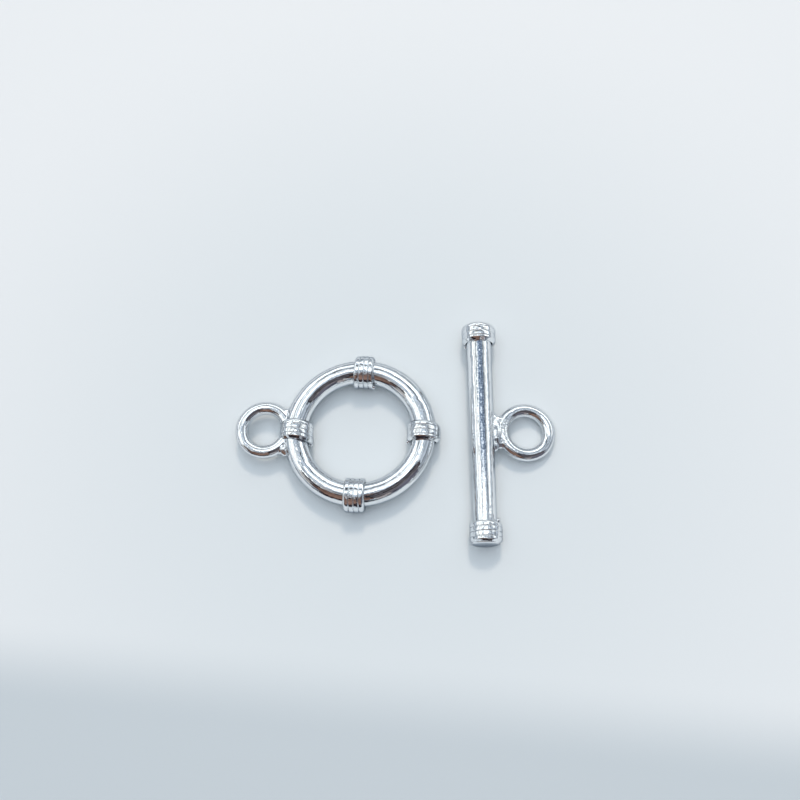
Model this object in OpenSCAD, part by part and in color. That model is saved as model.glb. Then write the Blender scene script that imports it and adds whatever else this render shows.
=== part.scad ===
// Toggle clasp for a necklace or bracelet, as it lies: a wire ring with four wound collars and a
// soldered hanging loop, and beside it the bar with two wound collars and its own soldered loop.
// Millimetres, +Z up, the surface it lies on at Z = 0, origin under the middle of the whole clasp.

/* [Ring] */

// Outside diameter of the ring
ring_diameter = 16.0; // [15:0.1:17.5]

// Thickness of the ring's round wire
ring_wire = 2.45; // [2.2:0.05:2.6]

/* [Hanging loops] */

// Outside diameter of the small loop on the ring and of the one on the bar
loop_diameter = 6.25; // [6:0.05:6.5]

// Thickness of the small loops' round wire
loop_wire = 1.35; // [1.2:0.05:1.45]

// Direction from the ring's centre to its loop, counted from +X
ring_loop_turn = 177.5; // [172:0.5:184]

// How far the loop's outline sinks into the ring's outline
ring_loop_sink = 1.05; // [0.95:0.05:1.1]

// How much the two arms flare where they are soldered to the ring, times the loop's wire
arm_flare = 1.12; // [1:0.02:1.2]

/* [Wound wire] */

// Thickness of the wire that is wound into collars
coil_wire = 0.48; // [0.42:0.02:0.5]

// Distance from one turn to the next, over the wire's thickness
coil_spread = 0.02; // [0.01:0.01:0.05]

// Turns seen on top of the collars on the ring; the left one is as long as its loop is open
ring_coil_count = 4; // [3:1:5]

// Turns seen on top of the collars on the bar
bar_coil_count = 4; // [3:1:5]

// How far the wire's free end leans away from the last turn
tail_lean = 0.3; // [0.1:0.05:0.4]

// Gap between the wound wire and the metal inside it
coil_gap = 0.03; // [0.02:0.01:0.06]

// Gap between the left collar and the soldered arms of the ring's loop
arm_gap = 0.05; // [0.03:0.01:0.1]

// Direction of the back collar on the ring, counted from +X
back_coil_turn = 86; // [80:1:100]

// Direction of the front collar on the ring, counted from +X
front_coil_turn = 266.5; // [260:0.5:280]

// Direction of the right collar on the ring, counted from +X
right_coil_turn = -2; // [-8:1:8]

/* [Bar] */

// Length of the bar
bar_length = 23.5; // [21:0.1:26]

// Thickness of the bar at its back end
bar_back_wire = 2.72; // [2.5:0.02:2.9]

// Thickness of the bar at its front end
bar_front_wire = 2.36; // [2.2:0.02:2.48]

// Width of the bevel round the bar's ends
bar_bevel = 0.2; // [0.1:0.05:0.3]

// How far the bar's ends stand out of their collars
bar_end_stand = 0.06; // [0.02:0.02:0.2]

// Distance from the bar's surface to the outline of its loop
bar_loop_stand = 0.26; // [0.15:0.01:0.35]

// Where the bar's loop sits, from the middle of the bar towards the back
bar_loop_shift = -0.2; // [-1:0.1:1]

// Thickness of the solder between the bar and its loop
bar_solder = 1.5; // [1.4:0.05:1.6]

// Distance between the lumps of that solder
bar_solder_step = 0.75; // [0.7:0.05:0.8]

/* [Layout] */

// Distance between the ring's centre and the bar's centre line
ring_to_bar = 12.8; // [12:0.1:16]

/* [Hidden] */

// Smoothness of the round wires
fine = 96;

// Sides of the wound wire and steps in one of its turns
coil_sides = 8;
coil_steps = 24;

// Steps in the leaning end of the wound wire, and its lift off the metal
tail_steps = 3;
tail_lift = 0.08;

// Solder lumps on the bar: place counted in steps and size against the solder's thickness
bar_lumps = [[-1.5, 0.94], [-0.5, 1.04], [0.5, 1.0], [1.5, 0.96]];

// The arms of the ring's loop: thickness of their elbow against the wire, and their direction
arm_elbow = 1.03;
arm_turn = 4;

// Each turn lies flat over the top and shifts by one pitch underneath, between these angles
shift_from = 195;
shift_angle = 150;

// Where a wound wire ends, 90 being on top: just past the side, half a turn after its last shift
coil_finish = 165;
last_part = 0.5;

// Where the seam of the ring's round wire runs, away from the solder
wire_seam = 140;

// Ring and loop radii along the middle of their wires
ring_mid = (ring_diameter - ring_wire) / 2;
loop_mid = (loop_diameter - loop_wire) / 2;

// Distance from the ring's centre to its loop's centre
ring_loop_reach = ring_diameter / 2 + loop_diameter / 2 - ring_loop_sink;

// Pitch of the wound wire
coil_pitch = coil_wire + coil_spread;

// A straight collar on a bent wire needs room for the bend over its own half length
ring_coil_half = ((ring_coil_count - 1) * coil_pitch + coil_wire) / 2;
ring_coil_bow = ring_coil_half * ring_coil_half / (2 * ring_mid);
ring_coil_inner = ring_wire / 2 + coil_gap + ring_coil_bow / 2;
ring_coil_axis = ring_mid - ring_coil_bow / 2;
ring_height = ring_coil_inner + coil_wire;

// The loop's arms stay clear of the left collar and run on into the ring's wire
elbow_y = ring_coil_half + loop_wire * arm_elbow / 2 + arm_gap;
ring_loop_gap_angle = asin(elbow_y / loop_mid);
elbow_x = ring_loop_reach - loop_mid * cos(ring_loop_gap_angle);
arm_depth = norm([elbow_x, elbow_y]) - ring_mid - ring_wire / 4;
arm_length = arm_depth / cos(arm_turn + atan2(elbow_y, elbow_x));

// Bar collars: half length, distance of their middles from the bar's middle, inner and outer radii
bar_coil_half = ((bar_coil_count - 1) * coil_pitch + coil_wire) / 2;
bar_coil_place = bar_length / 2 - bar_end_stand - bar_coil_half;
bar_slope = (bar_back_wire - bar_front_wire) / 2 / bar_length;
bar_middle_radius = (bar_back_wire + bar_front_wire) / 4;
back_coil_inner = bar_middle_radius + bar_slope * (bar_coil_place + bar_coil_half) + coil_gap;
front_coil_inner = bar_middle_radius - bar_slope * (bar_coil_place - bar_coil_half) + coil_gap;
back_coil_outer = back_coil_inner + coil_wire;
front_coil_outer = front_coil_inner + coil_wire;

// The bar lies on its two collars, so its centre line drops a little towards the thinner end
bar_lean = asin((back_coil_outer - front_coil_outer) / (2 * bar_coil_place));
bar_height = (back_coil_outer + front_coil_outer) / 2 + (bar_coil_half - coil_wire / 2) * sin(bar_lean);

// The bar's loop hangs down until it meets the surface
bar_loop_reach = bar_middle_radius + bar_loop_stand + loop_diameter / 2;
bar_loop_drop = asin((bar_height - loop_wire / 2) / (bar_loop_reach + loop_mid));

// Both halves are placed so that the middle of the whole clasp is over the origin
left_reach = loop_diameter / 2 - ring_loop_reach * cos(ring_loop_turn);
right_reach = (bar_loop_reach + loop_mid) * cos(bar_loop_drop) + loop_wire / 2;
ring_x = (left_reach - ring_to_bar - right_reach) / 2;
bar_x = ring_x + ring_to_bar;

// Colours
bright_metal = [0.90, 0.91, 0.92];
wound_metal = [0.84, 0.85, 0.87];

// Unit vector along v
function unit(v) = v / norm(v);

// How far step i has run into the leaning end of a wound wire of n steps, from 0 to 1
function tail_part(i, n) = max(0, i - (n - tail_steps)) / tail_steps;

// How many pitches a wound wire has shifted when it comes to an angle
function shifts(angle) =
    let (whole = floor((angle - shift_from) / 360))
    whole + min(1, (angle - shift_from - 360 * whole) / shift_angle);

// Centre of a wound wire at step i, the collar's axis along X
function coil_at(i, n, count, radius) =
    let (angle = coil_finish + 360 * (i - n) / coil_steps)
    let (part = tail_part(i, n))
    let (out = radius + tail_lift * part)
    let (along = coil_pitch * (shifts(angle) + (count - 1) / 2) + tail_lean * part * part)
    [along, out * cos(angle), out * sin(angle)];

// Ring of points round the wound wire at step i
function coil_ring(i, n, count, radius) =
    let (here = coil_at(i, n, count, radius))
    let (next = coil_at(min(i + 1, n), n, count, radius))
    let (last = coil_at(max(i - 1, 0), n, count, radius))
    let (run = unit(next - last))
    let (side = unit(cross(run, [0, here[1], here[2]])))
    let (out = cross(side, run))
    [for (k = [0 : coil_sides - 1])
        let (turn = 360 * k / coil_sides)
        here + coil_wire / 2 * (cos(turn) * out + sin(turn) * side)];

// A collar of wound wire, its axis along X and its free end towards +X
module coil(count, inner) {
    n = round((count - last_part) * coil_steps);
    radius = inner + coil_wire / 2;
    rings = [for (i = [0 : n]) coil_ring(i, n, count, radius)];
    points = [for (r = rings) for (p = r) p];
    near_cap = [for (k = [1 : coil_sides - 2]) [0, k, k + 1]];
    far = n * coil_sides;
    far_cap = [for (k = [1 : coil_sides - 2]) [far, far + k + 1, far + k]];
    walls = [for (i = [0 : n - 1]) for (k = [0 : coil_sides - 1])
        let (a = i * coil_sides + k)
        let (b = i * coil_sides + (k + 1) % coil_sides)
        for (f = [[a, a + coil_sides, b], [b, a + coil_sides, b + coil_sides]]) f];
    polyhedron(points = points, faces = concat(near_cap, far_cap, walls));
}

// A collar on the ring, in the direction turn, its free end on the side given by way (0 or 180)
module ring_coil(turn, way, count) {
    translate([ring_x, 0, ring_height])
        rotate([0, 0, turn])
            translate([ring_coil_axis, 0, 0])
                rotate([0, 0, 90 + way])
                    coil(count, ring_coil_inner);
}

// The bar's own frame: middle of the bar at the origin, bar along Y
module on_bar() {
    translate([bar_x, 0, bar_height])
        rotate([bar_lean, 0, 0])
            children();
}

// One arm of the ring's loop, from its elbow into the ring, on the side given by side (1 or -1)
module arm_joint(side) {
    translate([elbow_x, side * elbow_y, 0]) {
        sphere(d = loop_wire * arm_elbow, $fn = fine);
        rotate([0, 0, 180 - side * arm_turn])
            rotate([0, 90, 0])
                cylinder(d1 = loop_wire, d2 = loop_wire * arm_flare, h = arm_length, $fn = fine);
    }
}

// The ring with its open loop, whose two arms are soldered either side of the left collar
module toggle_ring() {
    color(bright_metal)
        translate([ring_x, 0, ring_height])
            rotate([0, 0, ring_loop_turn])
                union() {
                    rotate_extrude($fn = fine)
                        translate([ring_mid, 0])
                            rotate(wire_seam)
                                circle(d = ring_wire, $fn = fine);
                    translate([ring_loop_reach, 0, 0])
                        rotate([0, 0, ring_loop_gap_angle - 180])
                            rotate_extrude(angle = 2 * (180 - ring_loop_gap_angle), $fn = fine)
                                translate([loop_mid, 0])
                                    circle(d = loop_wire, $fn = fine);
                    arm_joint(1);
                    arm_joint(-1);
                }
}

module ring_coil_back() {
    color(wound_metal)
        ring_coil(back_coil_turn, 180, ring_coil_count);
}

module ring_coil_front() {
    color(wound_metal)
        ring_coil(front_coil_turn, 0, ring_coil_count);
}

module ring_coil_left() {
    color(wound_metal)
        ring_coil(ring_loop_turn, 180, ring_coil_count);
}

module ring_coil_right() {
    color(wound_metal)
        ring_coil(right_coil_turn, 180, ring_coil_count);
}

// The bar with its loop, which hangs from the middle on a rough seam of solder
module toggle_bar() {
    color(bright_metal)
        on_bar()
            union() {
                rotate([90, 0, 0])
                    rotate_extrude($fn = fine)
                        polygon([
                            [0, -bar_length / 2],
                            [bar_back_wire / 2 - bar_bevel, -bar_length / 2],
                            [bar_back_wire / 2, bar_bevel - bar_length / 2],
                            [bar_front_wire / 2, bar_length / 2 - bar_bevel],
                            [bar_front_wire / 2 - bar_bevel, bar_length / 2],
                            [0, bar_length / 2]
                        ]);
                translate([0, bar_loop_shift, 0])
                    rotate([0, bar_loop_drop, 0]) {
                        translate([bar_loop_reach, 0, 0])
                            rotate_extrude($fn = fine)
                                translate([loop_mid, 0])
                                    circle(d = loop_wire, $fn = fine);
                        for (lump = bar_lumps)
                            translate([bar_middle_radius + bar_loop_stand / 2, lump[0] * bar_solder_step, 0])
                                sphere(d = bar_solder * lump[1], $fn = fine);
                    }
            }
}

module bar_coil_back() {
    color(wound_metal)
        on_bar()
            translate([0, bar_coil_place, 0])
                rotate([0, 0, -90])
                    coil(bar_coil_count, back_coil_inner);
}

module bar_coil_front() {
    color(wound_metal)
        on_bar()
            translate([0, -bar_coil_place, 0])
                rotate([0, 0, 90])
                    coil(bar_coil_count, front_coil_inner);
}

toggle_ring();
ring_coil_back();
ring_coil_front();
ring_coil_left();
ring_coil_right();
toggle_bar();
bar_coil_back();
bar_coil_front();
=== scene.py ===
import math

import bmesh
import bpy
from mathutils import Matrix, Vector, noise


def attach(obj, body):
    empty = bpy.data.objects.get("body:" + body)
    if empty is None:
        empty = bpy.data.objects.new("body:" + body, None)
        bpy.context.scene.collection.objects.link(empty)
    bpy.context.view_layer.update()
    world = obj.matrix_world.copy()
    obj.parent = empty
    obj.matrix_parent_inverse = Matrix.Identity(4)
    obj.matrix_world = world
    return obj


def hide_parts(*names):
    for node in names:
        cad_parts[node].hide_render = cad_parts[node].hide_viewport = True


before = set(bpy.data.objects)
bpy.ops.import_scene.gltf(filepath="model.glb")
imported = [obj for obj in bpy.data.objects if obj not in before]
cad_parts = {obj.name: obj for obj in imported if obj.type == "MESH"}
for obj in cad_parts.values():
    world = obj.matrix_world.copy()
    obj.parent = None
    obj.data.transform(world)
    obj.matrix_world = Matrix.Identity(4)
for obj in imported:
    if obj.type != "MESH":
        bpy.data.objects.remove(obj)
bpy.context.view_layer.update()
scene = bpy.context.scene
mm = 0.001   # pieces are modelled in millimetres and brought to metres when they are finished
print("frame loaded")


def objectMode():
    if bpy.context.object and bpy.context.object.mode != "OBJECT":
        bpy.ops.object.mode_set(mode="OBJECT")


def pickOnly(*wanted):
    objectMode()
    bpy.ops.object.select_all(action="DESELECT")
    for piece in wanted:
        piece.select_set(True)
    bpy.context.view_layer.objects.active = wanted[0]


def startPiece():   # nothing is selected when a new primitive is added
    objectMode()
    bpy.ops.object.select_all(action="DESELECT")


def selectVerts(piece, test):   # leaves the piece in edit mode with these vertices picked
    pickOnly(piece)
    bpy.ops.object.mode_set(mode="EDIT")
    bpy.ops.mesh.select_mode(type="VERT")
    bpy.ops.mesh.select_all(action="DESELECT")
    net = bmesh.from_edit_mesh(piece.data)
    for v in net.verts:
        v.select = test(v.co)
    net.select_flush_mode()
    bmesh.update_edit_mesh(piece.data)


def addStep(piece, kind, **settings):   # one modifier, applied
    pickOnly(piece)
    step = piece.modifiers.new(kind.lower(), kind)
    for name, value in settings.items():
        setattr(step, name, value)
    bpy.ops.object.modifier_apply(modifier=step.name)


def addTorus(radius, wire, steps, place, turn=(0, 0, 0)):   # a closed ring of round wire
    startPiece()
    bpy.ops.mesh.primitive_torus_add(
        major_segments=steps[0], minor_segments=steps[1],
        major_radius=radius, minor_radius=wire / 2, location=place, rotation=turn)
    return bpy.context.object


def addBall(radius, steps, place, stretch=(1, 1, 1)):
    startPiece()
    bpy.ops.mesh.primitive_uv_sphere_add(
        segments=steps[0], ring_count=steps[1], radius=radius, location=place)
    bpy.context.object.scale = stretch
    return bpy.context.object


def joinAll(pieces):
    pickOnly(*pieces)
    bpy.ops.object.transform_apply(location=True, rotation=True, scale=True)
    bpy.ops.object.join()
    return bpy.context.object


def castTogether(piece, form, wavesName):   # one skin with soft seams and a faint unevenness
    addStep(piece, "REMESH", mode="VOXEL", voxel_size=form["voxel"])
    addStep(piece, "SMOOTH", factor=form["seamSoftness"], iterations=form["seamRounds"])
    waves = bpy.data.textures.new(wavesName, "CLOUDS")
    waves.noise_scale = form["unevenSize"]
    waves.noise_depth = form["unevenLayers"]
    addStep(piece, "DISPLACE", texture=waves, texture_coords="LOCAL", mid_level=0.5,
            strength=form["unevenness"])


def placePiece(piece, place, turn):   # into the row frame, in metres, with the object at the origin
    pickOnly(piece)
    piece.rotation_euler = [math.radians(a) for a in turn]
    piece.location = place
    bpy.ops.object.transform_apply(location=True, rotation=True, scale=True)
    piece.scale = (mm, mm, mm)
    bpy.ops.object.transform_apply(location=True, rotation=True, scale=True)
    bpy.ops.object.shade_smooth()


def finishPiece(piece, name, node, material):
    piece.name = name
    piece.data.name = name
    piece.data.materials.clear()
    piece.data.materials.append(material)
    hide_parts(node)
    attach(piece, "root")


def addNode(tree, kind, inputs=None, **settings):   # inputs takes plain values or sockets to link from
    made = tree.nodes.new(kind)
    for key, value in settings.items():
        setattr(made, key, value)
    for key, value in (inputs or {}).items():
        if isinstance(value, bpy.types.NodeSocket):
            tree.links.new(value, made.inputs[key])
        else:
            made.inputs[key].default_value = value
    return made


# The next functions each add one node and give back the socket that it fills.
def noiseOf(tree, place, sort, result="Fac"):   # sort: its scale, and how many finer layers it has
    scale, layers = sort
    made = addNode(tree, "ShaderNodeTexNoise", {"Vector": place, "Scale": scale, "Detail": layers})
    return made.outputs[result]


def mathOf(tree, kind, *values):
    return addNode(tree, "ShaderNodeMath", dict(enumerate(values)), operation=kind).outputs["Value"]


def vectorOf(tree, kind, *values, result="Vector"):
    return addNode(tree, "ShaderNodeVectorMath", dict(enumerate(values)), operation=kind).outputs[result]


def rangeOf(tree, value, low, high, atLow=0.0, atHigh=1.0, shape="LINEAR"):
    made = addNode(tree, "ShaderNodeMapRange", {
        "Value": value, "From Min": low, "From Max": high, "To Min": atLow, "To Max": atHigh},
        interpolation_type=shape)
    return made.outputs["Result"]


def mixOf(tree, share, first, second):   # of two colours
    made = addNode(tree, "ShaderNodeMix", {"Factor": share, "A": first, "B": second}, data_type="RGBA")
    return made.outputs["Result"]


def bumpOf(tree, height, depth, strength=1.0, under=None):
    inputs = {"Height": height, "Strength": strength, "Distance": depth}
    if under is not None:
        inputs["Normal"] = under
    return addNode(tree, "ShaderNodeBump", inputs).outputs["Normal"]


def rampOf(tree, share, stops):   # each stop: its place and its colour
    made = addNode(tree, "ShaderNodeValToRGB", {"Fac": share})
    for extra in range(len(stops) - 2):
        made.color_ramp.elements.new(0.5)
    for stop, (at, colour) in zip(made.color_ramp.elements, stops):
        stop.position = at
        stop.color = (*colour, 1)
    return made.outputs["Color"]


def newMaterial(name):
    made = bpy.data.materials.new(name)
    made.use_nodes = True
    made.node_tree.nodes.clear()
    return made, made.node_tree


def roundTheRing(tree, place, centre, radius):   # a place that follows the ring round its centre
    moved = vectorOf(tree, "SUBTRACT", place, centre)
    apart = addNode(tree, "ShaderNodeSeparateXYZ", {"Vector": moved}).outputs
    turn = mathOf(tree, "ARCTAN2", apart["X"], apart["Y"])
    run = mathOf(tree, "MULTIPLY", turn, radius)
    flat = vectorOf(tree, "MULTIPLY", moved, (1, 1, 0))
    out = vectorOf(tree, "LENGTH", flat, result="Value")
    return addNode(tree, "ShaderNodeCombineXYZ", {"X": out, "Y": run, "Z": apart["Z"]}).outputs["Vector"]


# Paints a reflection into the colour: the bar's crest mirroring the dark overhead, as a speckled streak.
def addCrestReflection(tree, place, colour, streak):
    apart = addNode(tree, "ShaderNodeSeparateXYZ", {"Vector": place}).outputs
    speck = noiseOf(tree, place, streak["speckNoise"])
    aside = mathOf(tree, "SUBTRACT", apart["X"], streak["middle"])
    across = mathOf(tree, "ABSOLUTE", aside)
    ragged = mathOf(tree, "MULTIPLY_ADD", speck, streak["ragged"], across)
    shown = rangeOf(tree, ragged, streak["inner"], streak["outer"], 1.0, 0.0)
    fade = rangeOf(tree, apart["Y"], streak["fadeFrom"], streak["fadeTo"])
    above = mathOf(tree, "GREATER_THAN", apart["Z"], streak["above"])
    before = mathOf(tree, "LESS_THAN", apart["Y"], streak["stop"])
    for share in (fade, above, before):
        shown = mathOf(tree, "MULTIPLY", shown, share)
    grey = rangeOf(tree, speck, *streak["speckRange"])
    speckled = mixOf(tree, grey, (*streak["dark"], 1), (*streak["light"], 1))
    return mixOf(tree, shown, colour, speckled)


# Silver plating: bright, a little wavy as it was cast, with fine marks along the wire and rougher solder.
def silverMaterial(name, look):
    made, tree = newMaterial(name)
    place = addNode(tree, "ShaderNodeTexCoord").outputs["Object"]
    colour = rampOf(tree, noiseOf(tree, place, look["stainNoise"]), look["tones"])
    # a painted reflection along the bar's crest
    if "streak" in look:
        colour = addCrestReflection(tree, place, colour, look["streak"])
    rub = noiseOf(tree, place, look["rubNoise"])   # where handling has dulled the plating
    dull = rangeOf(tree, rub, *look["rubRange"], look["smooth"], look["rough"])

    follow = place
    if "roundAbout" in look:
        follow = roundTheRing(tree, place, look["roundAbout"], look["roundRadius"])
    along = addNode(tree, "ShaderNodeMapping", {"Vector": follow, "Scale": look["markStretch"]})
    marks = noiseOf(tree, along.outputs["Vector"], look["markNoise"])
    ripple = noiseOf(tree, place, look["rippleNoise"])
    dents = noiseOf(tree, place, look["dentNoise"])
    normal = bumpOf(tree, marks, look["markDepth"])
    normal = bumpOf(tree, ripple, look["rippleDepth"], under=normal)
    normal = bumpOf(tree, dents, look["dentDepth"], under=normal)
    for spot, radius in look.get("roughSpots", ()):   # solder is rougher than the wire round it
        far = vectorOf(tree, "DISTANCE", place, spot, result="Value")
        near = rangeOf(tree, far, radius * look["roughCore"], radius, 1.0, 0.0)
        grit = noiseOf(tree, place, look["gritNoise"])
        normal = bumpOf(tree, grit, look["gritDepth"], strength=near, under=normal)

    # the specular tint paints shade along the rims, where the metal turns away from the eye
    metal = addNode(tree, "ShaderNodeBsdfPrincipled", {
        "Metallic": 1.0, "Base Color": colour, "Specular Tint": (*look["rimShade"], 1),
        "Roughness": dull, "Normal": normal})
    addNode(tree, "ShaderNodeOutputMaterial", {"Surface": metal.outputs["BSDF"]})
    return made


# Places and depths of the finishes are in metres.
plating = {
    "stainNoise": (420, 3), "tones": ((0.35, (0.86, 0.885, 0.91)), (0.62, (0.97, 0.98, 0.99))),
    "rimShade": (0.36, 0.39, 0.43),   # painted shade: the mirror is darkened where the metal turns away from the eye
    "rubNoise": (900, 4), "rubRange": (0.4, 0.72), "smooth": 0.01, "rough": 0.06,
    "markStretch": (1.0, 0.12, 1.0), "markNoise": (6000, 2), "markDepth": 0.000007,
    "rippleNoise": (800, 2), "rippleDepth": 0.000035,
    "dentNoise": (2600, 3), "dentDepth": 0.000006,
    "gritNoise": (4000, 3), "gritDepth": 0.00004,
    "roughCore": 0.6,   # share of a rough spot's radius that is rough all over
}
ringSilver = silverMaterial("ringSilver", dict(
    plating, roundAbout=(-0.00365, 0, 0.0018), roundRadius=0.0068,
    roughSpots=[((-0.0113, -0.0018, 0.0018), 0.0011)]))

# A painted reflection of the dark overhead: a grey, speckled streak along the top of the bar, which fades
# towards the front.
barCrestReflection = {
    "middle": 0.00917, "inner": 0.00033, "outer": 0.00043, "ragged": 0.0002,   # across the bar
    "above": 0.0025,   # it lies on the top alone
    "fadeFrom": -0.0095, "fadeTo": -0.002, "stop": 0.0112,   # along the bar
    "speckNoise": (6500, 3), "speckRange": (0.38, 0.62),
    "dark": (0.22, 0.28, 0.37), "light": (0.56, 0.62, 0.71),
}
barSilver = silverMaterial("barSilver", dict(
    plating, roughSpots=[((0.0108, -0.0002, 0.0016), 0.0022)], streak=barCrestReflection))
woundSilver = silverMaterial("woundSilver", dict(
    plating, markStretch=(1.0, 1.0, 1.0), markNoise=(3500, 2),
    rippleNoise=(1600, 2), rippleDepth=0.00001))
print("materials ready")


# The ring with its small loop, which is soldered into it on both sides of the left collar.
ringForm = {
    "place": (-3.6505, 0.0, 1.7712), "loopTurn": 177.5,
    "midRadius": 6.775, "wire": 2.45,
    "loopReach": 10.075, "loopRadius": 2.45, "loopWire": 1.35,
    # solder: distance from the ring's middle, place to the side, radius
    "solder": ((8.1, -1.75, 0.55), (7.85, -1.95, 0.52), (8.15, 1.8, 0.62), (7.85, 2.1, 0.62),
               (7.7, 2.35, 0.5)),
    "wireSteps": (256, 64), "solderSteps": (32, 20),
    "voxel": 0.08, "seamSoftness": 0.5, "seamRounds": 8,
    "unevenness": 0.035, "unevenSize": 1.8, "unevenLayers": 1,
}


def makeRing(form):
    parts = [
        addTorus(form["midRadius"], form["wire"], form["wireSteps"], (0, 0, 0)),
        addTorus(form["loopRadius"], form["loopWire"], form["wireSteps"], (form["loopReach"], 0, 0)),
    ]
    for x, y, radius in form["solder"]:
        parts.append(addBall(radius, form["solderSteps"], (x, y, 0)))
    made = joinAll(parts)
    castTogether(made, form, "ringWaves")
    placePiece(made, form["place"], (0, 0, form["loopTurn"]))
    return made


ring = makeRing(ringForm)
finishPiece(ring, "silverRing", "toggle_ring", ringSilver)
print("ring made")


# The bar with its own loop on a rough seam of solder.
barForm = {
    "place": (9.1495, 0.0, 1.7934), "lean": 0.439,
    "length": 23.5, "backWire": 2.72, "frontWire": 2.36, "bevel": 0.2,
    "endBand": 0.01,   # what lies this near to an end is shaped with it
    # the foot: solder that has run over the front end, with a faintly domed face
    "footRadius": 1.44, "footFrom": 11.84, "footTo": 11.98, "footBevel": 0.06, "footRise": 0.18,
    "loopShift": -0.2, "loopDrop": 9.057, "loopReach": 4.655, "loopRadius": 2.45, "loopWire": 1.35,
    # solder: distance from the bar's middle line, place along the bar, radius, how long for its radius
    "solder": ((1.42, -0.05, 0.78, 2.3), (1.2, -1.45, 0.6, 1.3), (1.2, 1.45, 0.6, 1.2),
               (1.8, -1.3, 0.5, 1.1), (1.8, 1.25, 0.52, 1.1)),
    "rodSteps": 96, "bevelSteps": 3, "loopSteps": (160, 48), "solderSteps": (32, 20), "faceSteps": (64, 48),
    "voxel": 0.075, "seamSoftness": 0.5, "seamRounds": 8,
    "unevenness": 0.03, "unevenSize": 1.8, "unevenLayers": 1,
}


def makeShaft(form):   # a round rod, a little thicker at the back
    startPiece()
    bpy.ops.mesh.primitive_cylinder_add(
        vertices=form["rodSteps"], radius=1, depth=form["length"], rotation=(-math.pi / 2, 0, 0))
    bpy.ops.object.transform_apply(rotation=True)
    shaft = bpy.context.object
    half = form["length"] / 2
    for end, wire in ((1, form["backWire"]), (-1, form["frontWire"])):
        selectVerts(shaft, lambda p: p.y * end > half - form["endBand"])
        bpy.ops.transform.resize(value=(wire / 2, 1, wire / 2), center_override=(0, end * half, 0))
        bpy.ops.mesh.bevel(offset=form["bevel"], segments=form["bevelSteps"], affect="EDGES")
    return shaft


def makeFoot(form):
    startPiece()
    bpy.ops.mesh.primitive_cylinder_add(
        vertices=form["rodSteps"], radius=form["footRadius"], depth=form["footTo"] - form["footFrom"],
        location=(0, -(form["footFrom"] + form["footTo"]) / 2, 0), rotation=(math.pi / 2, 0, 0))
    foot = bpy.context.object
    addStep(foot, "BEVEL", width=form["footBevel"], segments=form["bevelSteps"], limit_method="ANGLE")
    radius = form["footRadius"] - form["footBevel"]
    face = addBall(radius, form["faceSteps"], (0, -form["footTo"], 0), (1, form["footRise"] / radius, 1))
    return [foot, face]


def makeBar(form):
    drop = math.radians(form["loopDrop"])

    def dropped(reach, along):   # a place on the loop's leaning plane
        return (reach * math.cos(drop), form["loopShift"] + along, -reach * math.sin(drop))

    parts = [makeShaft(form)]
    loopPlace = dropped(form["loopReach"], 0)
    parts.append(addTorus(form["loopRadius"], form["loopWire"], form["loopSteps"], loopPlace, (0, drop, 0)))
    for reach, along, radius, length in form["solder"]:
        parts.append(addBall(radius, form["solderSteps"], dropped(reach, along), (1, length, 1)))
    made = joinAll(parts + makeFoot(form))
    castTogether(made, form, "barWaves")
    placePiece(made, form["place"], (form["lean"], 0, 0))
    return made


bar = makeBar(barForm)
finishPiece(bar, "silverBar", "toggle_bar", barSilver)
print("bar made")


# The wound collars: turns of thin wire side by side, worn flat on top, with solder run in between them.
woundForm = {
    "grooves": (-0.5, 0.0, 0.5), "grooveWidth": 0.032, "grooveDepth": 0.085,
    "depthMiddle": 0.75, "depthSpread": 0.9,   # a groove's depth on its way round, as a share of grooveDepth
    "sideDepth": 0.9, "sidePower": 4,   # how much deeper it is at the sides, where no wear reached it
    "endGap": 0.12, "endFade": 0.1,   # how near to an end a groove is gone, and how softly it goes
    "jitter": 0.04,   # how far a groove strays along the collar
    "crown": 0.004,   # how far each turn is domed
    "strayNoise": (3, 5), "depthNoise": (2.2, 9),   # how quickly it changes, and the step between grooves
    "depthStart": 7, "seedStep": 4,   # these keep the noises and the collars apart
    "unevenness": 0.03, "unevenSize": 0.6,
    "shiftFrom": 195, "shiftOver": 150,   # underneath, each turn moves over to the next
    "cornerRounding": 0.6,   # how much rounder the ends are on the outer side
    "slope": 1.1, "slopeSoft": 0.05,   # how steeply a sloped end runs down, and how softly that starts
    "lip": 0.03,   # the least thickness
    "rowsOutside": 150, "rowsInside": 8, "columns": 180, "seamMerge": 0.0005,
    "tailRadius": 0.22, "tailStretch": 1.3, "tailInset": 0.16, "tailSteps": (28, 18),
    "ringMiddle": ringForm["place"], "ringBend": ringForm["midRadius"],
    "barMiddle": barForm["place"], "barLean": barForm["lean"],
}
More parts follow.
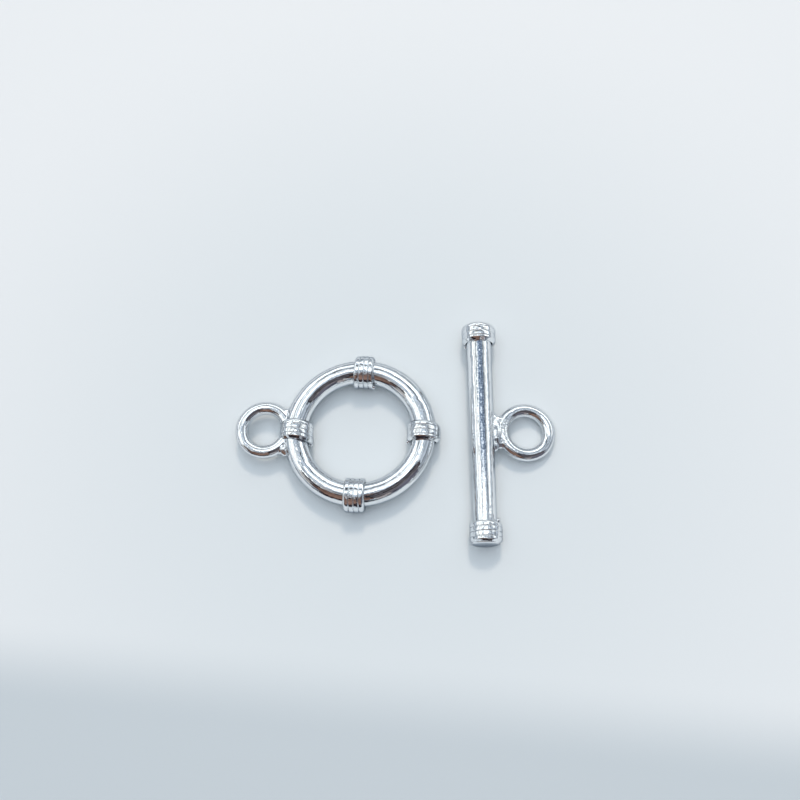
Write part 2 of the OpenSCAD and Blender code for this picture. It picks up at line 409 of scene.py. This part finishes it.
# turn: direction from the ring's middle. reach: distance from the bar's. half: half its width.
# inner, outer: radius inside, and outside at both ends. ends: how far each is rounded, or below zero sloped.
# tail: the wire's free end, along the collar and round it, 90 being on top. slant: how far its turns lean.
# fan, aside: how much wider and thicker it is on the outer side, which on the bar is the loop's side.
plainCollar = {
    "turn": 0, "reach": 0, "half": 1.03, "inner": 1.24, "outer": (1.76, 1.76),
    "fan": 0.0, "slant": 0.0, "aside": 0.0,
}
collars = {
    "ring_coil_back": dict(
        plainCollar, on="ring", turn=86, ends=(0.2, 0.2), tail=(-1.05, 180), fan=-0.1),
    "ring_coil_front": dict(
        plainCollar, on="ring", turn=267, half=1.06, ends=(0.22, 0.22), tail=(-1.0, 200),
        fan=0.25, aside=0.1),
    "ring_coil_left": dict(
        plainCollar, on="ring", turn=179, half=1.11, ends=(0.42, -0.3), tail=(1.06, 205),
        slant=-0.15, aside=-0.1),
    "ring_coil_right": dict(
        plainCollar, on="ring", turn=-2.4, ends=(-0.33, 0.34), tail=(-1.02, 182), slant=-0.03),
    "bar_coil_back": dict(
        plainCollar, on="bar", reach=10.68, inner=1.37, outer=(1.80, 1.83), ends=(-0.32, 0.42),
        tail=(-0.95, 210)),
    "bar_coil_front": dict(
        plainCollar, on="bar", reach=-10.88, half=1.08, inner=1.21, outer=(1.63, 1.66), ends=(-0.3, 0.3),
        tail=(1.12, 28), aside=0.06),
}


def smoothStep(x):   # from 0 to 1, with a soft start and end
    x = min(max(x, 0), 1)
    return x * x * (3 - 2 * x)


def collarPlace(form, collar, along, radius, roundTurn):   # a point on a collar
    side, up = radius * math.cos(roundTurn), radius * math.sin(roundTurn)
    along += collar["slant"] * math.cos(roundTurn)
    middle = Vector(form[collar["on"] + "Middle"])
    if collar["on"] == "ring":   # the collar follows the ring's bend
        turn = math.radians(collar["turn"])
        out = form["ringBend"] + side - along * along / (2 * form["ringBend"])
        along *= 1 + collar["fan"] * side / form["ringBend"]
        outward = Vector((math.cos(turn), math.sin(turn), 0))
        return middle + out * outward + Vector((-along * math.sin(turn), along * math.cos(turn), up))
    lean = math.radians(form["barLean"])
    line = Vector((0, math.cos(lean), math.sin(lean)))
    upright = Vector((0, -math.sin(lean), math.cos(lean)))
    return middle + (collar["reach"] + along) * line + side * Vector((1, 0, 0)) + up * upright


def grooveDip(form, half, along, here, shift):   # how deep all the grooves are at this point
    pitch = form["grooves"][1] - form["grooves"][0]
    strayOften, strayStep = form["strayNoise"]
    depthOften, depthStep = form["depthNoise"]
    dip = 0
    # one more groove waits before the first, and comes in where the turns shift over
    for number, groove in enumerate((form["grooves"][0] - pitch, *form["grooves"])):
        stray = form["jitter"] * noise.noise(strayOften * here + Vector((0, 0, strayStep * number)))
        change = noise.noise(depthOften * here + Vector((form["depthStart"], 0, depthStep * number)))
        depth = form["grooveDepth"] * (form["depthMiddle"] + form["depthSpread"] * change)
        depth *= 1 + form["sideDepth"] * here.x ** form["sidePower"]
        away = (along - groove - shift * pitch - stray) / form["grooveWidth"]
        inside = smoothStep((half - form["endGap"] - abs(groove + shift * pitch)) / form["endFade"])
        dip += depth * inside * math.exp(-away * away)
    return dip


def endDrop(form, end, toEnd, here):   # how far the skin comes down near an end
    if end > 0:   # rounded
        end *= 1 + form["cornerRounding"] * max(here.x, 0)
        near = max(0, end - toEnd)
        return end - math.sqrt(max(end * end - near * near, 0))
    near = max(0, -end - toEnd)   # sloped down to the wire
    return math.hypot(form["slopeSoft"], form["slope"] * near) - form["slopeSoft"]


def collarSkin(form, collar, along, roundTurn, seed):   # outer radius of the wound turns
    half = collar["half"]
    here = Vector((math.cos(roundTurn), math.sin(roundTurn), seed))
    outer = collar["outer"][0] + (collar["outer"][1] - collar["outer"][0]) * (along + half) / (2 * half)
    outer += collar["aside"] * here.x
    turned = math.degrees(roundTurn) % 360
    shift = smoothStep((turned - form["shiftFrom"]) / form["shiftOver"]) if turned > form["shiftFrom"] else 0
    pitch = form["grooves"][1] - form["grooves"][0]
    dip = grooveDip(form, half, along, here, shift)
    dome = form["crown"] * math.cos(2 * math.pi * (along - shift * pitch) / pitch - math.pi)
    spot = Vector((outer * here.x, outer * here.y, along + form["seedStep"] * seed))
    rough = form["unevenness"] * noise.noise(spot / form["unevenSize"])
    drop = endDrop(form, collar["ends"][0] if along < 0 else collar["ends"][1], half - abs(along), here)
    return max(outer - dip + dome + rough - drop - form["crown"], collar["inner"] + form["lip"])


def makeCollar(collar, form, seed):
    startPiece()
    rows = form["rowsOutside"] + form["rowsInside"]
    bpy.ops.mesh.primitive_grid_add(x_subdivisions=form["columns"], y_subdivisions=rows, size=2)
    wound = bpy.context.object
    bpy.ops.object.mode_set(mode="EDIT")
    net = bmesh.from_edit_mesh(wound.data)
    half = collar["half"]
    for v in net.verts:   # the grid is rolled up round the wire, and its inside closes against it
        roundTurn = math.pi * (v.co.x + 1)
        row = (v.co.y + 1) / 2 * rows
        if row <= form["rowsOutside"]:
            along = half * (2 * row / form["rowsOutside"] - 1)
            radius = collarSkin(form, collar, along, roundTurn, seed)
        elif row > rows - 0.5:   # the last row lies on the first
            along = -half
            radius = collarSkin(form, collar, along, roundTurn, seed)
        else:
            along = half * (1 - 2 * (row - form["rowsOutside"]) / form["rowsInside"])
            radius = collar["inner"]
        v.co = collarPlace(form, collar, along, radius, roundTurn)
    bmesh.update_edit_mesh(wound.data)
    bpy.ops.mesh.select_all(action="SELECT")
    bpy.ops.mesh.remove_doubles(threshold=form["seamMerge"])
    bpy.ops.mesh.normals_make_consistent(inside=False)

    tailAlong, tailRound = collar["tail"]
    tailReach = min(collar["outer"]) - form["tailInset"]
    tailPlace = collarPlace(form, collar, tailAlong, tailReach, math.radians(tailRound))
    tail = addBall(form["tailRadius"], form["tailSteps"], tailPlace, (1, 1, form["tailStretch"]))
    made = joinAll([wound, tail])
    placePiece(made, (0, 0, 0), (0, 0, 0))
    return made


for seed, (nodeName, collar) in enumerate(collars.items()):
    finishPiece(makeCollar(collar, woundForm, seed), nodeName.replace("coil", "collar"), nodeName,
                woundSilver)
print("collars made")


# A plain pale floor with painted shade: a touch darker round the middle and to the front, where shadows
# fall. Places and depths are in metres.
floorLook = {
    "size": 1.2, "pale": (0.868, 0.876, 0.883),
    # middle: painted shade, a broad soft shadow round the clasp
    "middle": (0.745, 0.785, 0.805), "middleShadeFrom": 0.005, "middleShadeTo": 0.065,
    # front: painted shade, a soft shadow over the front of the floor
    "front": (0.61, 0.655, 0.685), "fadeFrom": -0.0225, "fadeTo": -0.0305, "frontShadeSlant": 0.10,
    "grainNoise": (2500, 3), "grainStrength": 0.3, "grainDepth": 0.00002, "rough": 0.6, "shine": 0.15,
}


def makeFloor(look):
    startPiece()
    bpy.ops.mesh.primitive_plane_add(size=look["size"])
    floor = bpy.context.object
    floor.name = "paleFloor"
    made, tree = newMaterial("palePaper")
    place = addNode(tree, "ShaderNodeTexCoord").outputs["Object"]
    apart = addNode(tree, "ShaderNodeSeparateXYZ", {"Vector": place}).outputs
    away = vectorOf(tree, "LENGTH", place, result="Value")
    # painted shade round the middle, fading out to the pale floor
    clear = rangeOf(tree, away, look["middleShadeFrom"], look["middleShadeTo"], shape="SMOOTHSTEP")
    wide = mixOf(tree, clear, (*look["middle"], 1), (*look["pale"], 1))
    # painted shade to the front
    slant = mathOf(tree, "MULTIPLY_ADD", apart["X"], look["frontShadeSlant"], apart["Y"])
    fade = rangeOf(tree, slant, look["fadeFrom"], look["fadeTo"], shape="SMOOTHSTEP")
    tone = mixOf(tree, fade, wide, (*look["front"], 1))
    grain = noiseOf(tree, place, look["grainNoise"])
    tooth = bumpOf(tree, grain, look["grainDepth"], strength=look["grainStrength"])
    paper = addNode(tree, "ShaderNodeBsdfPrincipled", {
        "Base Color": tone, "Roughness": look["rough"], "Specular IOR Level": look["shine"],
        "Normal": tooth})
    addNode(tree, "ShaderNodeOutputMaterial", {"Surface": paper.outputs["BSDF"]})
    floor.data.materials.append(made)


makeFloor(floorLook)

# The studio that the metal mirrors: soft oval cards of light and shade round a pale room.
studio = {
    # from the horizon up: the sine of the height, and the tone there
    "rise": ((0.0, (0.12, 0.15, 0.18)), (0.05, (0.18, 0.22, 0.26)), (0.09, (0.38, 0.43, 0.49)),
             (0.31, (0.40, 0.46, 0.52)), (0.42, (1.05, 1.1, 1.11)), (1.0, (1.05, 1.1, 1.1))),
    "seen": (0.80, 0.84, 0.88),   # behind the floor, in low views
    # what falls on the floor, mostly from above
    "fillHigh": (1.50, 1.64, 1.79), "fillLow": (0.135, 0.155, 0.175), "fillFrom": 0.7, "fillTo": 0.9,
    "waver": 0.035, "waverNoise": (5, 2),   # how far the edges of the cards waver
    # level streaks over the whole room, from streakLow to streakHigh times as bright
    "streakStretch": (1.5, 8, 1), "streakNoise": (1.0, 1), "streakRange": (0.36, 0.6),
    "streakLow": 0.5, "streakHigh": 1.4,
    # each card: direction from east, counter-clockwise; height above the horizon; half its width and height
    # in degrees; softness; tone
    "cards": [
        (0, 90, 25, 25, 0.1, (0.46, 0.53, 0.61)),
        (95, 82, 17, 11, 0.1, (1.5, 1.55, 1.55)),
        (90, 42, 50, 12, 0.1, (1.5, 1.56, 1.56)),
        (60, 60.5, 40, 10.5, 0.08, (0.42, 0.48, 0.55)),
        (82, 58, 24, 2.6, 0.15, (0.01, 0.015, 0.02)),
        (135, 53, 9, 5, 0.2, (0.40, 0.47, 0.54)),
        (48, 48, 10, 7, 0.3, (0.55, 0.62, 0.68)),
        (355, 32, 15, 34, 0.1, (0.36, 0.41, 0.47)),
        (190, 61, 12, 8, 0.15, (0.46, 0.53, 0.60)),
        (203, 42, 9, 9, 0.12, (0.09, 0.085, 0.095)),
        (205, 22, 12, 11, 0.15, (0.44, 0.43, 0.42)),
        (232, 60, 17, 10, 0.15, (0.34, 0.35, 0.37)),
        (246, 31, 32, 24, 0.06, (0.025, 0.02, 0.025)),
        (246, 32, 28, 18, 0.1, (0.20, 0.125, 0.10)),
        (275, 58, 11, 17, 0.1, (0.20, 0.15, 0.14)),
        (312, 46, 29, 28, 0.06, (0.02, 0.02, 0.025)),
        (312, 46, 25, 23, 0.1, (0.105, 0.098, 0.11)),
        (312, 52, 22, 2.5, 0.3, (0.03, 0.028, 0.03)),
        (312, 38, 20, 1.8, 0.3, (0.26, 0.23, 0.23)),
        (318, 18, 20, 14, 0.1, (0.10, 0.10, 0.13)),
        (290, 19, 8, 8, 0.15, (0.42, 0.38, 0.38)),
        (250, 6, 38, 8, 0.15, (0.03, 0.025, 0.03)),
        (291, 3, 10, 6, 0.15, (0.05, 0.045, 0.05)),
    ],
}


def cardShare(tree, toward, around, up, wide, tall, soft):   # 1 on the card, 0 off it
    turned = addNode(tree, "ShaderNodeMapping", {
        "Vector": toward, "Rotation": (0, -math.radians(up), math.radians(around)),
        "Scale": (1, math.sin(math.radians(wide)), math.sin(math.radians(tall)))}, vector_type="TEXTURE")
    flat = vectorOf(tree, "MULTIPLY", turned.outputs["Vector"], (0, 1, 1))
    far = vectorOf(tree, "LENGTH", flat, result="Value")
    edge = rangeOf(tree, far, 1 - soft, 1 + soft, 1.0, 0.0, shape="SMOOTHSTEP")
    ahead = addNode(tree, "ShaderNodeSeparateXYZ", {"Vector": turned.outputs["Vector"]}).outputs
    front = mathOf(tree, "GREATER_THAN", ahead["X"], 0.0)
    return mathOf(tree, "MULTIPLY", edge, front)


def makeRoom(room):
    world = bpy.data.worlds.new("studioRoom")
    scene.world = world
    world.use_nodes = True
    tree = world.node_tree
    tree.nodes.clear()
    toward = addNode(tree, "ShaderNodeTexCoord").outputs["Generated"]
    cloud = noiseOf(tree, toward, room["waverNoise"], result="Color")
    centred = vectorOf(tree, "SUBTRACT", cloud, (0.5, 0.5, 0.5))
    drift = addNode(tree, "ShaderNodeVectorMath", {0: centred, "Scale": room["waver"] * 2},
                    operation="SCALE")
    toward = vectorOf(tree, "ADD", toward, drift.outputs["Vector"])
    apart = addNode(tree, "ShaderNodeSeparateXYZ", {"Vector": toward}).outputs
    tone = rampOf(tree, apart["Z"], room["rise"])
    for *card, colour in room["cards"]:
        tone = mixOf(tree, cardShare(tree, toward, *card), tone, (*colour, 1))

    around = mathOf(tree, "ARCTAN2", apart["X"], apart["Y"])
    height = mathOf(tree, "ARCSINE", apart["Z"])
    spread = addNode(tree, "ShaderNodeCombineXYZ", {"X": around, "Y": height}).outputs["Vector"]
    banded = addNode(tree, "ShaderNodeMapping", {"Vector": spread, "Scale": room["streakStretch"]})
    streaks = noiseOf(tree, banded.outputs["Vector"], room["streakNoise"])
    power = rangeOf(tree, streaks, *room["streakRange"], room["streakLow"], room["streakHigh"])
    mirrored = addNode(tree, "ShaderNodeBackground", {"Color": tone, "Strength": power})

    above = rangeOf(tree, apart["Z"], room["fillFrom"], room["fillTo"], shape="SMOOTHSTEP")
    falling = mixOf(tree, above, (*room["fillLow"], 1), (*room["fillHigh"], 1))
    fill = addNode(tree, "ShaderNodeBackground", {"Color": falling})
    seen = addNode(tree, "ShaderNodeBackground", {"Color": (*room["seen"], 1)})
    path = addNode(tree, "ShaderNodeLightPath").outputs
    lit = addNode(tree, "ShaderNodeMixShader", {
        "Fac": path["Is Diffuse Ray"], 1: mirrored.outputs["Background"], 2: fill.outputs["Background"]})
    shown = addNode(tree, "ShaderNodeMixShader", {
        "Fac": path["Is Camera Ray"], 1: lit.outputs["Shader"], 2: seen.outputs["Background"]})
    addNode(tree, "ShaderNodeOutputWorld", {"Surface": shown.outputs["Shader"]})


makeRoom(studio)

# One soft light high to the back lights the floor and makes the shadows; the metal mirrors the room alone.
softLight = {"place": (0.05, 0.36, 0.50), "size": 0.10, "power": 1.03, "tone": (1.0, 0.866, 0.721)}


def makeLight(look):
    lamp = bpy.data.lights.new("softLight", "AREA")
    lamp.size = look["size"]
    lamp.energy = look["power"]
    lamp.color = look["tone"]
    holder = bpy.data.objects.new("softLight", lamp)
    holder.location = look["place"]
    holder.rotation_euler = (-Vector(look["place"])).to_track_quat("-Z", "Y").to_euler()
    holder.visible_glossy = False
    holder.visible_camera = False
    scene.collection.objects.link(holder)


makeLight(softLight)

# The camera stands almost over the clasp and leans 21 degrees to the front.
cameraLook = {
    "place": (5.735, -29.228, 87.689), "aim": (0.50, 4.20, 0.0),   # in millimetres
    "lens": 39.0, "sensor": 36, "nearest": 0.001, "farthest": 10,
}


def makeCamera(look):
    eye = bpy.data.cameras.new("mainCamera")
    eye.lens = look["lens"]
    eye.sensor_width = look["sensor"]
    eye.clip_start = look["nearest"]
    eye.clip_end = look["farthest"]
    holder = bpy.data.objects.new("mainCamera", eye)
    holder.location = Vector(look["place"]) * mm
    back = (Vector(look["place"]) - Vector(look["aim"])).normalized()
    right = Vector((0, 1, 0)).cross(back).normalized()   # the picture's upright follows the bar
    holder.rotation_euler = Matrix((right, back.cross(right), back)).transposed().to_euler()
    scene.collection.objects.link(holder)
    scene.camera = holder


makeCamera(cameraLook)
scene.view_settings.view_transform = "Standard"
print("floor, room, light and camera ready")
